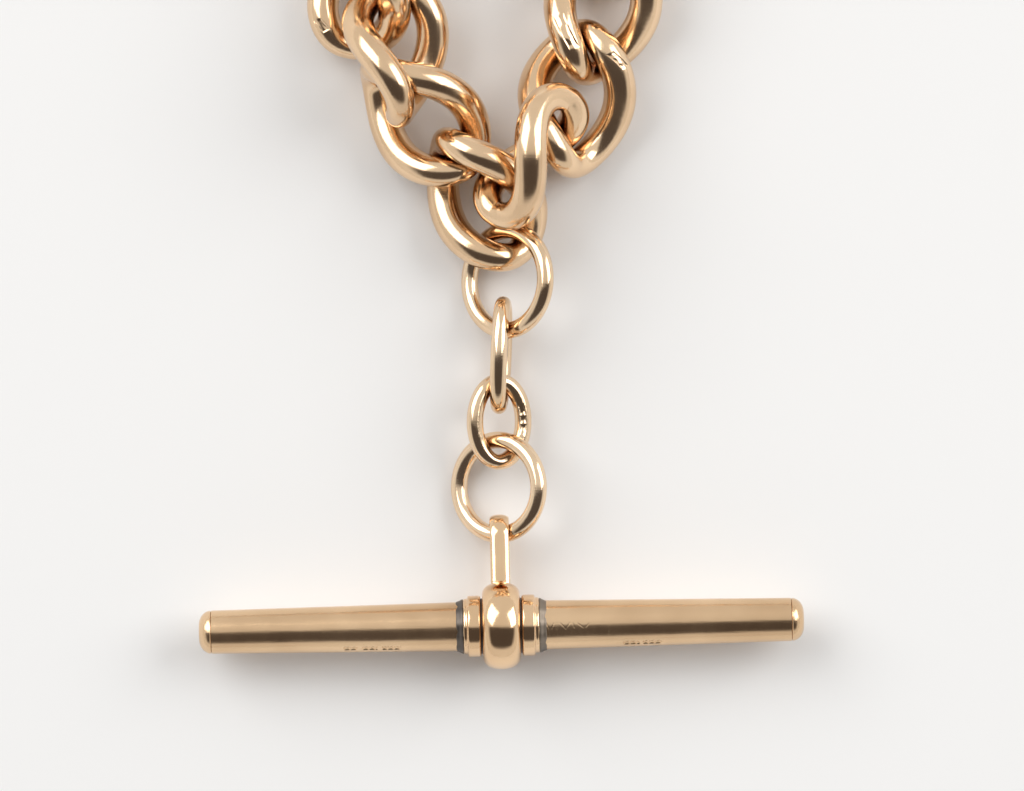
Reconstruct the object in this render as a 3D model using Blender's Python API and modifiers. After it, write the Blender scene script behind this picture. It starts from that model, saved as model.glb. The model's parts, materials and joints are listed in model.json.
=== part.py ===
"""A gentleman's double watch chain, laid out on a table: two runs of twisted curb links that meet
in a middle link, a T-bar on a short drop, and a swivel clasp at each free end.

Metres, +Z up, the table at Z = 0. Sizes below are in millimetres and angles in degrees."""

import math

import bmesh
import bpy
import numpy as np
from mathutils import Matrix, Vector

MM = 0.001

# Curb links. The hole and the wire set the link, and the wire is thinner where links rub.
CURB_HOLE_LENGTH = 6.38
CURB_HOLE_WIDTH = 3.18
CURB_SIDE_WIRE = 1.96
CURB_END_WIRE = 1.58
CURB_TWIST = 109.0
CURB_LAP = 0.91
LINKS_PER_RUN = 17

# Drop: two round rings with two plain oval links between them.
DROP_WIRE = 1.0
DROP_END_WIRE = 0.94
UPPER_RING_HOLE = 5.0
LOWER_RING_HOLE = 4.65
UPPER_LINK_HOLE_LENGTH = 5.15
LOWER_LINK_HOLE_LENGTH = 3.85
DROP_LINK_HOLE_WIDTH = 2.1

# T-bar, along X, with its bead resting on the table.
BAR_LENGTH = 36.0
BAR_MIDDLE_DIAMETER = 2.93
BAR_END_DIAMETER = 2.57
BAR_WALL = 0.3
CAP_LENGTH = 0.75
CAP_FLAT = 0.9
CAP_PLUG = 1.2
BEAD_DIAMETER = 5.2
BEAD_WIDTH = 2.24
BEAD_SIDE_DIAMETER = 3.7
COLLAR_DIAMETER = 3.65
COLLAR_STEP_DIAMETER = 3.3
COLLAR_WIDTH = 0.78
COLLAR_STEP_WIDTH = 0.28
COLLAR_SPIGOT = 1.0
BAR_HEADING = 1.25
BAR_PLACE = (0.0, 0.5)
BAIL_REACH = 6.65
BAIL_OPENING = 1.85
BAIL_BAND = 1.15
BAIL_THICKNESS = 0.46
BAIL_DIP = -6.0

# Swivel clasps.
END_RING_HOLE = 3.9
END_RING_WIRE = 1.1
EYE_HOLE = 2.9
EYE_WIRE = 1.1
SHANK_DIAMETER = 0.95
BUTTON_DIAMETER = 1.9
BUTTON_HEIGHT = 0.5
EYE_TO_BARREL = 0.35
BARREL_DIAMETER = 4.2
BARREL_LENGTH = 3.2
BARREL_SHOULDER = 0.7
BARREL_ROUND = 0.5
HOOK_LENGTH = 13.0
HOOK_WIDTH = 9.2
HOOK_WIRE = 2.1
HOOK_TIP_WIRE = 1.5
BEAK_ANGLE = 62.0
HOOK_ROOT_ANGLE = 218.0
GATE_WIRE = 1.3
PIVOT_ANGLE = 220.0
GATE_TIP_ANGLE = 6.0
PIVOT_DIAMETER = 0.7
KNUCKLE_DIAMETER = 1.7
KNUCKLE_HEIGHT = 0.65
CHEEK_DIAMETER = 2.3
CHEEK_THICKNESS = 0.45
SPRING_WIRE = 0.15
SPRING_TURNS = 2
SPRING_LAY = 1.15
PIN_PROUD = 0.12
PIN_CHAMFER = 0.1

# Clearances: between links, between fixed pieces that touch, and round a turning pin.
LINK_GAP = 0.1
SETTLED_WITHIN = 0.055
SEAM_GAP = 0.1
PIN_GAP = 0.12

LINE_POINTS = 48
TUBE_POINTS = 16
RING_POINTS = 24
TURNED_STEPS = 20
HOOK_POINTS = 24
GATE_POINTS = 12
COIL_POINTS = 10

GOLD = (0.80, 0.49, 0.32, 1)
STEEL = (0.55, 0.53, 0.50, 1)

# How the middle link lies: where the wire of its near end is, in mm across from the bar's middle,
# back from the end of the drop and up, then its heading, climb and roll. A link's own X is its
# long axis, and heading turns that from +X towards +Y.
MIDDLE_HOOK = (0.94, 2.24, 1.91)
MIDDLE_LIE = (122.0, 8.5, -24.7)
# The links nearest to it: place from the middle link's centre, and height, then the same angles.
# The places hold at this link pitch and grow with it.
LAID_PITCH = 5.47
LEFT_LAID = (
    ((-3.65, 4.74, 2.76), (135.0, 0.8, -27.8)),
    ((-5.08, 8.70, 3.78), (93.6, -19.4, 42.9)),
    ((-6.90, 12.55, 2.68), (72.4, 18.7, -42.2)),
)
RIGHT_LAID = (
    ((3.08, 2.51, 3.79), (59.9, 7.8, 95.7)),
    ((5.68, 5.95, 2.37), (84.6, -5.5, 6.9)),
    ((7.16, 11.27, 2.11), (73.0, -4.8, 9.0)),
)
# The rest of a run: its first heading, then (number of links, turn at each).
LEFT_HEADING = 82.0
LEFT_BENDS = ((5, 11.5), (1, 0.0), (7, -10.0))
LEFT_CLASP_BENDS = (10.0, 10.5)
RIGHT_HEADING = 76.0
RIGHT_BENDS = ((4, -8.5), (1, 0.0), (8, 10.0))
RIGHT_CLASP_BENDS = (-16.0, -16.0)
# Links 4 and 5 of the left run come down from the pile: (height, climb, roll).
LEFT_SETTLING = ((3.3, -10.0, -26.0), (2.5, -6.0, -12.0))

# The drop's pieces, from the bail up: (across, height), heading, climb and roll.
LOWER_RING_LIE = ((-0.39, 1.85), (90.0, 0.0, -29.0))
LOWER_LINK_LIE = ((-0.12, 1.85), (90.0, 3.0, 30.0))
UPPER_LINK_LIE = ((-0.19, 2.12), (91.5, 0.0, 90.0))
UPPER_RING_LIE = ((-0.05, 2.45), (90.0, 3.0, -38.0))


# Where a piece's hinge is: on the wire that holds it, or on its own wire, or else half way.
TURNS_ON_HOLDER = (
    "curb_left_01",
    "curb_left_06",
    "curb_right_03",
    "end_ring_left",
    "end_ring_right",
    "swivel_left_eye",
    "swivel_right_eye",
    "drop_link_upper",
    "bail",
)
TURNS_ON_ITSELF = (
    "curb_left_02",
    "curb_left_03",
    "curb_left_04",
    "curb_left_05",
    "curb_right_01",
    "curb_right_02",
    "curb_right_17",
    "drop_ring_upper",
    "drop_link_lower",
    "drop_ring_lower",
)


def turn(heading, climb=0.0, roll=0.0):
    """The rotation of a piece whose own X points along the heading, climbing, rolled about itself."""
    return (
        Matrix.Rotation(math.radians(heading), 3, "Z")
        @ Matrix.Rotation(math.radians(-climb), 3, "Y")
        @ Matrix.Rotation(math.radians(roll), 3, "X")
    )


class Loop:
    """A wire loop: its centre line and wire radii in its own frame, and where it lies, in mm."""

    def __init__(self, name, line, radii, pose, fixed=False):
        self.name = name
        self.line = np.array(line)
        self.radii = np.broadcast_to(radii, len(self.line)).copy()
        self.centre = np.array(pose[0])
        self.turn = np.array(turn(*pose[1]))
        self.reach = np.linalg.norm(self.line, axis=1).max() + self.radii.max()
        self.fixed = fixed

    def placed(self):
        return self.line @ self.turn.T + self.centre


def oval_line(half_length, half_width, twist=0.0, points=LINE_POINTS):
    """An oval in the XY plane, twisted about X by `twist` degrees from end to end."""
    line = []
    for k in range(points):
        t = math.tau * k / points
        lean = -math.radians(twist) / 2 * math.cos(t)
        across = half_width * math.sin(t)
        line.append((half_length * math.cos(t), across * math.cos(lean), across * math.sin(lean)))
    return line


def wire_radii(side, end, points=LINE_POINTS):
    """Wire radii round an oval, from the side diameter to the end diameter."""
    turns = (math.tau * k / points for k in range(points))
    return [(end + (side - end) * abs(math.sin(t))) / 2 for t in turns]


def curb_half_length():
    return (CURB_HOLE_LENGTH + CURB_END_WIRE) / 2


def curb_line(points):
    half_width = (CURB_HOLE_WIDTH + CURB_SIDE_WIRE) / 2
    return oval_line(curb_half_length(), half_width, CURB_TWIST, points)


def curb_loop(name, pose, fixed=False):
    radii = wire_radii(CURB_SIDE_WIRE, CURB_END_WIRE)
    return Loop(name, curb_line(LINE_POINTS), radii, pose, fixed)


def plain_loop(name, hole_length, hole_width, side_wire, end_wire, pose):
    line = oval_line((hole_length + end_wire) / 2, (hole_width + side_wire) / 2)
    return Loop(name, line, wire_radii(side_wire, end_wire), pose)


def bail_line(points=LINE_POINTS // 2):
    """The bail's U in the bar's YZ plane: out along the lower leg, round the end and back."""
    half = (BAIL_OPENING + BAIL_THICKNESS) / 2
    round_centre = BAIL_REACH - BAIL_THICKNESS / 2 - half
    foot = math.sqrt((BEAD_DIAMETER / 2) ** 2 - half**2) + BAIL_THICKNESS / 2 + SEAM_GAP
    line = [(0, foot, -half), (0, (foot + round_centre) / 2, -half)]
    for k in range(points):
        t = math.pi * (k / (points - 1) - 0.5)
        line.append((0, round_centre + half * math.cos(t), half * math.sin(t)))
    return line + [(0, (foot + round_centre) / 2, half), (0, foot, half)]


def bar_turn():
    return turn(BAR_HEADING) @ Matrix.Rotation(math.radians(BAIL_DIP), 3, "X")


def bail_loop():
    reach = BAIL_THICKNESS / 2 + LINK_GAP
    loop = Loop("bail", bail_line(), reach, ((*BAR_PLACE, BEAD_DIAMETER / 2), (0,)), True)
    loop.turn = np.array(bar_turn())
    return loop


def run_headings(first, bends):
    headings = [first]
    for count, bend in bends:
        headings += [headings[-1] + bend * (k + 1) for k in range(count)]
    return headings


def ahead(degrees):
    """A step of one along a heading, on the table."""
    return np.array((math.cos(math.radians(degrees)), math.sin(math.radians(degrees)), 0))


def middle_loop():
    """The middle link, hooked in the last ring of the drop."""
    hook = Vector((MIDDLE_HOOK[0], drop_end() - MIDDLE_HOOK[1], MIDDLE_HOOK[2]))
    centre = hook + turn(*MIDDLE_LIE) @ Vector((curb_half_length(), 0, 0))
    return curb_loop("centre_curb_link", (centre, MIDDLE_LIE), fixed=True)


def laid_run(side, middle, laid, headings, settling, clasp_bends):
    """One run of links with its end ring and swivel eye, in order from the middle link."""
    pitch = CURB_HOLE_LENGTH - CURB_LAP
    grow = np.array((pitch / LAID_PITCH, pitch / LAID_PITCH, 1))
    start = middle.centre * (1, 1, 0)
    loops = []
    for k, (place_from_middle, lie) in enumerate(laid):
        pose = (start + grow * place_from_middle, lie)
        loops.append(curb_loop(f"curb_{side}_{k + 1:02d}", pose))
    flat_height = float((middle.radii - middle.line[:, 2]).max())
    heading = headings[0]
    for k, following in enumerate(headings[: LINKS_PER_RUN - len(laid)]):
        centre = loops[-1].centre + pitch * ahead((heading + following) / 2)
        heading = following
        centre[2], climb, roll = settling[k] if k < len(settling) else (flat_height, 0, 0)
        name = f"curb_{side}_{len(loops) + 1:02d}"
        loops.append(curb_loop(name, (centre, (heading, climb, roll))))
    ring_roll = 90 - CURB_TWIST / 2
    ring_half = (END_RING_HOLE + END_RING_WIRE) / 2
    eye_half = (EYE_HOLE + EYE_WIRE) / 2
    heading += clasp_bends[0]
    lap = (CURB_END_WIRE + END_RING_WIRE) / 2 + LINK_GAP
    centre = loops[-1].centre + ahead(heading) * (curb_half_length() + ring_half - lap)
    ring = Loop(
        f"end_ring_{side}",
        oval_line(ring_half, ring_half),
        END_RING_WIRE / 2,
        (centre, (heading, 0, ring_roll)),
    )
    heading += clasp_bends[1]
    lap = (END_RING_WIRE + EYE_WIRE) / 2 + LINK_GAP
    centre = ring.centre + ahead(heading) * (ring_half + eye_half - lap)
    eye = Loop(
        f"swivel_{side}_eye",
        oval_line(eye_half, eye_half),
        EYE_WIRE / 2,
        (centre, (heading, 0, ring_roll - 90)),
    )
    return loops + [ring, eye]


def drop_start():
    """How far from the bar's line the bail's hole ends."""
    return BAR_PLACE[1] + BAIL_REACH - BAIL_THICKNESS


def drop_end():
    """How far the drop reaches, pulled straight."""
    holes = (UPPER_RING_HOLE, UPPER_LINK_HOLE_LENGTH, LOWER_LINK_HOLE_LENGTH, LOWER_RING_HOLE)
    return drop_start() + sum(holes) - LINK_GAP * len(holes)


def laid_drop():
    """The four pieces between the bail and the middle link, the upper ring first."""
    ring = (DROP_WIRE, DROP_WIRE)
    link = (DROP_WIRE, DROP_END_WIRE)
    pieces = (
        ("drop_ring_lower", LOWER_RING_HOLE, LOWER_RING_HOLE, ring, LOWER_RING_LIE),
        ("drop_link_lower", LOWER_LINK_HOLE_LENGTH, DROP_LINK_HOLE_WIDTH, link, LOWER_LINK_LIE),
        ("drop_link_upper", UPPER_LINK_HOLE_LENGTH, DROP_LINK_HOLE_WIDTH, link, UPPER_LINK_LIE),
        ("drop_ring_upper", UPPER_RING_HOLE, UPPER_RING_HOLE, ring, UPPER_RING_LIE),
    )
    hole_end = drop_start()
    drop = []
    for name, hole_length, hole_width, (side_wire, end_wire), ((across, height), lie) in pieces:
        centre_y = hole_end - LINK_GAP + hole_length / 2
        pose = ((across, centre_y, height), lie)
        drop.insert(0, plain_loop(name, hole_length, hole_width, side_wire, end_wire, pose))
        hole_end = centre_y + hole_length / 2
    return drop


def settle(loops, rounds=900):
    """Moves and turns the loops, a little at a time, until no two wires are nearer than the gap and
    none is below the table, each within SETTLED_WITHIN. Loops that lie clear stay where they are."""
    for _ in range(rounds):
        placed = [loop.placed() for loop in loops]
        pushes = [[] for _ in loops]
        worst = 0
        for i, one in enumerate(loops):
            low = one.radii - placed[i][:, 2]
            under = np.nonzero(low > 0)[0]
            worst = max(worst, low.max())
            pushes[i] += [(placed[i][k], np.array((0, 0, low[k]))) for k in under]
            for j in range(i + 1, len(loops)):
                other = loops[j]
                if np.linalg.norm(one.centre - other.centre) > one.reach + other.reach:
                    continue
                apart = placed[i][:, None] - placed[j][None]
                distance = np.linalg.norm(apart, axis=2)
                lack = one.radii[:, None] + other.radii[None] + LINK_GAP - distance
                worst = max(worst, lack.max())
                share = 1.0 if one.fixed or other.fixed else 0.5
                for a, b in zip(*np.nonzero(lack > 0)):
                    push = apart[a, b] / distance[a, b] * lack[a, b] * share
                    pushes[i].append((placed[i][a], push))
                    pushes[j].append((placed[j][b], -push))
        if worst < SETTLED_WITHIN:
            return
        for loop, pushed in zip(loops, pushes):
            if loop.fixed or not pushed:
                continue
            points = np.array([at for at, _ in pushed]) - loop.centre
            moves = np.array([move for _, move in pushed])
            spin = np.cross(points, moves).sum(0) / (points**2).sum()
            loop.centre += moves.mean(0)
            angle = float(np.linalg.norm(spin))
            if angle > 0:
                loop.turn = np.array(Matrix.Rotation(angle, 3, Vector(spin))) @ loop.turn
    print("settle: links still nearer than the gap")


def hinge_point(parent, child):
    """Where one loop turns on the other: between the two wires that hook, or on one of them."""
    there, here = parent.placed(), child.placed()
    outer = there[np.linalg.norm(there - child.centre, axis=1).argmin()]
    inner = here[np.linalg.norm(here - parent.centre, axis=1).argmin()]
    if child.name in TURNS_ON_HOLDER:
        return outer
    if child.name in TURNS_ON_ITSELF:
        return inner
    return (outer + inner) / 2


def clear_scene():
    for obj in list(bpy.data.objects):
        bpy.data.objects.remove(obj)


def make_collection(name, hidden=False):
    collection = bpy.data.collections.new(name)
    bpy.context.scene.collection.children.link(collection)
    collection.hide_render = hidden
    return collection


def make_material(name, colour, roughness):
    material = bpy.data.materials.new(name)
    material.use_nodes = True
    shader = material.node_tree.nodes["Principled BSDF"]
    shader.inputs["Base Color"].default_value = colour
    shader.inputs["Metallic"].default_value = 1.0
    shader.inputs["Roughness"].default_value = roughness
    return material


def add_object(name, data, colour=GOLD, roughness=0.22):
    obj = bpy.data.objects.new(name, data)
    PARTS.objects.link(obj)
    if data.materials:
        data.materials.clear()
    data.materials.append(make_material(name, colour, roughness))
    return obj


def tube_curve(name, line, radii, closed):
    """A wire along the line, in mm, as a curve with a round bevel."""
    curve = bpy.data.curves.new(name, "CURVE")
    curve.dimensions = "3D"
    curve.twist_mode = "MINIMUM"
    curve.bevel_depth = MM
    curve.bevel_resolution = 2
    curve.use_fill_caps = not closed
    spline = curve.splines.new("POLY")
    spline.points.add(len(line) - 1)
    for point, place, radius in zip(spline.points, line, radii):
        point.co = (*(MM * Vector(place)), 1)
        point.radius = radius
    spline.use_cyclic_u = closed
    return curve


def add_wire_loop(loop, line, radii, pivot, colour=GOLD):
    """The loop's object, with its origin at the pivot."""
    local = (np.array(line) @ loop.turn.T + loop.centre - pivot) @ loop.turn
    obj = add_object(loop.name, tube_curve(loop.name, local, radii, True), colour)
    place(obj, pivot, Matrix(loop.turn))
    return obj


def place(obj, at, rotation=Matrix.Identity(3)):
    obj.matrix_world = Matrix.Translation(MM * Vector(at)) @ Matrix(rotation).to_4x4()


def turned(name, profile, colour=GOLD, axis="X"):
    """A solid turned about X (or Z) from a profile of (along, radius) in mm, outer side first to last."""
    data = bpy.data.meshes.new(name)
    edges = [(k, k + 1) for k in range(len(profile) - 1)]
    if profile[0][1] > 0:
        edges.append((len(profile) - 1, 0))
    if axis == "X":
        points = [(along * MM, radius * MM, 0) for along, radius in profile]
    else:
        points = [(radius * MM, 0, along * MM) for along, radius in profile]
    data.from_pydata(points, edges, [])
    obj = add_object(name, data, colour)
    screw = obj.modifiers.new("turn", "SCREW")
    screw.axis = axis
    screw.steps = screw.render_steps = TURNED_STEPS
    screw.use_merge_vertices = True
    screw.merge_threshold = 0.00001
    screw.use_smooth_shade = True
    screw.use_normal_flip = True
    return obj


def solid_mesh(obj):
    """Replaces a curve or a modified mesh by its final mesh, welded, facing out."""
    graph = bpy.context.evaluated_depsgraph_get()
    data = bpy.data.meshes.new_from_object(obj.evaluated_get(graph))
    shape = bmesh.new()
    shape.from_mesh(data)
    bmesh.ops.remove_doubles(shape, verts=shape.verts, dist=0.000002)
    bmesh.ops.recalc_face_normals(shape, faces=shape.faces)
    shape.to_mesh(data)
    shape.free()
    return data


def combine(target, tool, operation):
    """Joins or cuts the target with a helper, which then stays out of renders."""
    modifier = target.modifiers.new(tool.name, "BOOLEAN")
    modifier.operation = operation
    modifier.solver = "EXACT"
    modifier.object = tool
    PARTS.objects.unlink(tool)
    TOOLS.objects.link(tool)
    tool.hide_render = True
    tool.display_type = "WIRE"


def as_mesh_object(obj):
    """The same object as a plain mesh, so that a Boolean can use it."""
    data = solid_mesh(obj)
    name, matrix, material = obj.name, obj.matrix_world.copy(), obj.data.materials[0]
    bpy.data.objects.remove(obj)
    made = bpy.data.objects.new(name, data)
    PARTS.objects.link(made)
    made.matrix_world = matrix
    data.materials.clear()
    data.materials.append(material)
    return made


def build_chain():
    """Every link and ring, settled: the middle link, the two runs, the drop and the bail."""
    middle = middle_loop()
    left = laid_run(
        "left",
        middle,
        LEFT_LAID,
        run_headings(LEFT_HEADING, LEFT_BENDS),
        LEFT_SETTLING,
        LEFT_CLASP_BENDS,
    )
    right = laid_run(
        "right",
        middle,
        RIGHT_LAID,
        run_headings(RIGHT_HEADING, RIGHT_BENDS),
        (),
        RIGHT_CLASP_BENDS,
    )
    bail = bail_loop()
    drop = laid_drop()
    settle([middle] + left + right + drop + [bail])
    return middle, left, right, drop, bail


def build_bar(bail):
    """The T-bar: bead, collars, tubes, caps and the bail, all soldered together."""
    middle = Vector(bail.centre)
    bead_half = BEAD_WIDTH / 2
    side, top = BEAD_SIDE_DIAMETER / 2, BEAD_DIAMETER / 2
    rim = [
        (-bead_half * math.cos(t), side + (top - side) * math.sin(t))
        for t in (math.pi * k / 8 for k in range(9))
    ]
    bead = turned("centre_bead", [(-bead_half, 0), *rim, (bead_half, 0)])
    place(bead, middle, bar_turn())
    pieces = [bead]
    collar_start = bead_half + SEAM_GAP
    step = collar_start + COLLAR_WIDTH
    tube_start = step + COLLAR_STEP_WIDTH
    spigot = BAR_MIDDLE_DIAMETER / 2 - BAR_WALL - SEAM_GAP
    cap_start = BAR_LENGTH / 2 - CAP_LENGTH
    end_radius = BAR_END_DIAMETER / 2
    plug = end_radius - BAR_WALL - SEAM_GAP
    collar = [
        (collar_start, 0),
        (collar_start, COLLAR_DIAMETER / 2),
        (step, COLLAR_DIAMETER / 2),
        (step, COLLAR_STEP_DIAMETER / 2),
        (tube_start, COLLAR_STEP_DIAMETER / 2),
        (tube_start, spigot),
        (tube_start + COLLAR_SPIGOT, spigot),
        (tube_start + COLLAR_SPIGOT, 0),
    ]
    tube = [
        (tube_start + SEAM_GAP, BAR_MIDDLE_DIAMETER / 2),
        (cap_start - SEAM_GAP, end_radius),
        (cap_start - SEAM_GAP, end_radius - BAR_WALL),
        (tube_start + SEAM_GAP, BAR_MIDDLE_DIAMETER / 2 - BAR_WALL),
    ]
    dome = [
        (
            cap_start + CAP_LENGTH * math.sin(t),
            CAP_FLAT / 2 + (end_radius - CAP_FLAT / 2) * math.cos(t),
        )
        for t in (math.pi / 2 * k / 4 for k in range(5))
    ]
    cap = [(cap_start - CAP_PLUG, 0), (cap_start - CAP_PLUG, plug), (cap_start, plug)]
    cap += [*dome, (BAR_LENGTH / 2, 0)]
    for side_name, mirror in (("left", -1), ("right", 1)):
        for name, profile in (
            (f"collar_{side_name}", collar),
            (f"bar_tube_{side_name}", tube),
            (f"end_cap_{side_name}", cap),
        ):
            rows = [(mirror * along, radius) for along, radius in profile]
            piece = turned(name, rows[::mirror])
            place(piece, middle, bar_turn())
            pieces.append(piece)
    radii = [BAIL_THICKNESS / 2] * len(bail.line)
    band = as_mesh_object(add_object("bail", tube_curve("bail", bail.line, radii, False)))
    widen = Matrix.Scale(BAIL_BAND / BAIL_THICKNESS, 4, (1, 0, 0))
    band.data.transform(widen)
    place(band, middle, bar_turn())
    return [*pieces, band]


def oval_point(half_length, half_width, centre_x, degrees):
    t = math.radians(degrees)
    return Vector((centre_x + half_length * math.cos(t), half_width * math.sin(t), 0))


def oval_arc(half_length, half_width, centre_x, first, last, points):
    step = (last - first) / (points - 1)
    return [oval_point(half_length, half_width, centre_x, first + step * k) for k in range(points)]


def cylinder(name, radius, height, centre, sides=TURNED_STEPS):
    """A cylinder about Z, as a mesh object in its swivel's own frame, in mm."""
    half = height / 2
    obj = turned(name, [(-half, 0), (-half, radius), (half, radius), (half, 0)], axis="Z")
    obj.modifiers["turn"].steps = obj.modifiers["turn"].render_steps = sides
    obj = as_mesh_object(obj)
    obj.data.transform(Matrix.Translation(MM * Vector(centre)))
    return obj


def barrel_profile(start, end):
    """The barrel's outline: a domed shoulder, a little belly and a rounded foot."""
    radius = BARREL_DIAMETER / 2
    return [
        (start, 0),
        (start, radius - BARREL_SHOULDER),
        (start + BARREL_ROUND, radius - BARREL_ROUND / 5),
        ((start + end) / 2, radius),
        (end - BARREL_ROUND, radius - BARREL_ROUND / 2),
        (end, radius - BARREL_SHOULDER),
        (end, 0),
    ]


def chamfered_pin(name, length, colour):
    half, radius = length / 2, PIVOT_DIAMETER / 2
    profile = [
        (-half, 0),
        (-half, radius - PIN_CHAMFER),
        (PIN_CHAMFER - half, radius),
        (half - PIN_CHAMFER, radius),
        (half, radius - PIN_CHAMFER),
        (half, 0),
    ]
    return turned(name, profile, colour, axis="Z")


def gate_spring(name):
    """A coil of fine wire, round the pivot pin."""
    radius = PIVOT_DIAMETER / 2 + PIN_GAP + SPRING_WIRE / 2
    rise = SPRING_WIRE * SPRING_LAY / COIL_POINTS
    last = SPRING_TURNS * COIL_POINTS
    coil = []
    for k in range(last + 1):
        t = math.tau * k / COIL_POINTS
        coil.append((radius * math.cos(t), radius * math.sin(t), rise * (k - last / 2)))
    curve = tube_curve(name, coil, [SPRING_WIRE / 2] * len(coil), False)
    curve.bevel_resolution = 1
    return add_object(name, curve, STEEL)


def build_eye(name, eye, button_at):
    """The swivel's eye with its shank, which ends in a button inside the hook."""
    root = (EYE_HOLE + EYE_WIRE) / 2
    button = BUTTON_DIAMETER / 2
    profile = [
        (root, 0),
        (root, SHANK_DIAMETER / 2),
        (button_at, SHANK_DIAMETER / 2),
        (button_at, button),
        (button_at + BUTTON_HEIGHT / 2, button),
        (button_at + BUTTON_HEIGHT, button / 2),
        (button_at + BUTTON_HEIGHT, 0),
    ]
    shank = as_mesh_object(turned(name, profile))
    line = oval_line(root, root, 0, RING_POINTS)
    ring_curve = tube_curve(name, line, [EYE_WIRE / 2] * RING_POINTS, True)
    ring = as_mesh_object(add_object(f"{name}_ring", ring_curve))
    combine(shank, ring, "UNION")
    for obj in (shank, ring):
        place(obj, eye.centre, Matrix(eye.turn))
    return shank, ring


def build_swivel(side, eye, parent):
    """One swivel clasp. In its own frame X runs from the eye to the hook's tip and Z is up."""
    barrel_start = (EYE_HOLE + EYE_WIRE) / 2 + EYE_WIRE / 2 + EYE_TO_BARREL
    barrel_end = barrel_start + BARREL_LENGTH
    near = barrel_end - HOOK_WIRE / 4
    half_length = (HOOK_LENGTH - HOOK_WIRE) / 2
    half_width = (HOOK_WIDTH - HOOK_WIRE) / 2
    oval = (half_length, half_width, near + half_length)
    spring_height = (SPRING_TURNS + 1) * SPRING_WIRE
    slot_height = KNUCKLE_HEIGHT + spring_height + 3 * PIN_GAP
    lug_height = slot_height + 2 * CHEEK_THICKNESS
    hole_radius = PIVOT_DIAMETER / 2 + PIN_GAP
    pivot = oval_point(*oval, PIVOT_ANGLE)
    knuckle_at = pivot + Vector((0, 0, -slot_height / 2 + PIN_GAP + KNUCKLE_HEIGHT / 2))
    spring_at = pivot + Vector((0, 0, slot_height / 2 - PIN_GAP - spring_height / 2))
    prefix = f"swivel_{side}"

    barrel = turned(f"{prefix}_body", barrel_profile(barrel_start, barrel_end))
    arc = oval_arc(*oval, HOOK_ROOT_ANGLE, -BEAK_ANGLE, HOOK_POINTS)
    half_way = HOOK_POINTS / 2
    taper = [
        (HOOK_WIRE - (HOOK_WIRE - HOOK_TIP_WIRE) * max(0, k / half_way - 1)) / 2
        for k in range(HOOK_POINTS)
    ]
    hook = as_mesh_object(add_object(f"{prefix}_hook", tube_curve("hook", arc, taper, False)))
    cheek = CHEEK_DIAMETER / 2
    lug = cylinder(f"{prefix}_lug", cheek, lug_height, pivot)
    slot = cylinder(f"{prefix}_slot", cheek + PIN_GAP, slot_height, pivot)
    pin_hole = cylinder(f"{prefix}_pin_hole", hole_radius, lug_height * 2, pivot)
    bore_radius = SHANK_DIAMETER / 2 + PIN_GAP
    bore_end = near + HOOK_WIRE
    bore_profile = [(0, 0), (0, bore_radius), (bore_end, bore_radius), (bore_end, 0)]
    bore = as_mesh_object(turned(f"{prefix}_bore", bore_profile))
    combine(barrel, hook, "UNION")
    combine(barrel, lug, "UNION")
    combine(barrel, slot, "DIFFERENCE")
    combine(barrel, pin_hole, "DIFFERENCE")
    combine(barrel, bore, "DIFFERENCE")

    inside_length, inside_width = half_length - HOOK_WIRE / 2, half_width - HOOK_WIRE / 2
    rise = 1 - math.sqrt(1 - (BUTTON_DIAMETER / 2 / inside_width) ** 2)
    button_at = near + HOOK_WIRE / 2 + inside_length * rise + PIN_GAP
    shank, eye_ring = build_eye(f"{prefix}_eye", eye, button_at)

    gate_arc = oval_arc(*oval, PIVOT_ANGLE - 360, -BEAK_ANGLE - GATE_TIP_ANGLE, GATE_POINTS)
    gate_radii = []
    for k, point in enumerate(gate_arc):
        along = min(1, k / 4)
        point.z = knuckle_at.z * (1 - along)
        gate_radii.append((KNUCKLE_HEIGHT * (1 - along) * 0.9 + GATE_WIRE * along) / 2)
    gate = as_mesh_object(
        add_object(f"{prefix}_gate", tube_curve("gate", gate_arc, gate_radii, False))
    )
    knuckle = cylinder(f"{prefix}_knuckle", KNUCKLE_DIAMETER / 2, KNUCKLE_HEIGHT, knuckle_at)
    gate_hole = cylinder(f"{prefix}_gate_hole", hole_radius, KNUCKLE_HEIGHT * 3, knuckle_at)
    combine(gate, knuckle, "UNION")
    combine(gate, gate_hole, "DIFFERENCE")

    pin = chamfered_pin(f"{prefix}_pivot_pin", lug_height + 2 * PIN_PROUD, STEEL)
    spring = gate_spring(f"{prefix}_gate_spring")

    towards = Matrix(eye.turn).col[0]
    flat = turn(math.degrees(math.atan2(towards.y, towards.x)), math.degrees(math.asin(towards.z)))
    origin = Vector(eye.centre)
    for obj in (barrel, hook, lug, slot, pin_hole, bore, gate, knuckle, gate_hole):
        place(obj, origin, flat)
    place(pin, origin + flat @ pivot, flat)
    place(spring, origin + flat @ spring_at, flat)
    shift_origin(gate, origin + flat @ pivot)
    shift_origin(shank, hinge_point(parent, eye))
    attach(shank, barrel, eye_ring)
    attach(barrel, gate, pin, spring, hook, lug, slot, pin_hole, bore)
    attach(gate, knuckle, gate_hole)
    return shank


def shift_origin(obj, at):
    """Moves the object's origin to a point in mm, leaving its shape where it is."""
    before = obj.matrix_world.copy()
    after = before.copy()
    after.translation = MM * Vector(at)
    obj.data.transform(after.inverted() @ before)
    obj.matrix_world = after


def attach(parent, *children):
    """Parents the children, leaving each where it lies."""
    bpy.context.view_layer.update()
    for child in children:
        child.parent = parent
        child.matrix_parent_inverse = parent.matrix_world.inverted()


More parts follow.
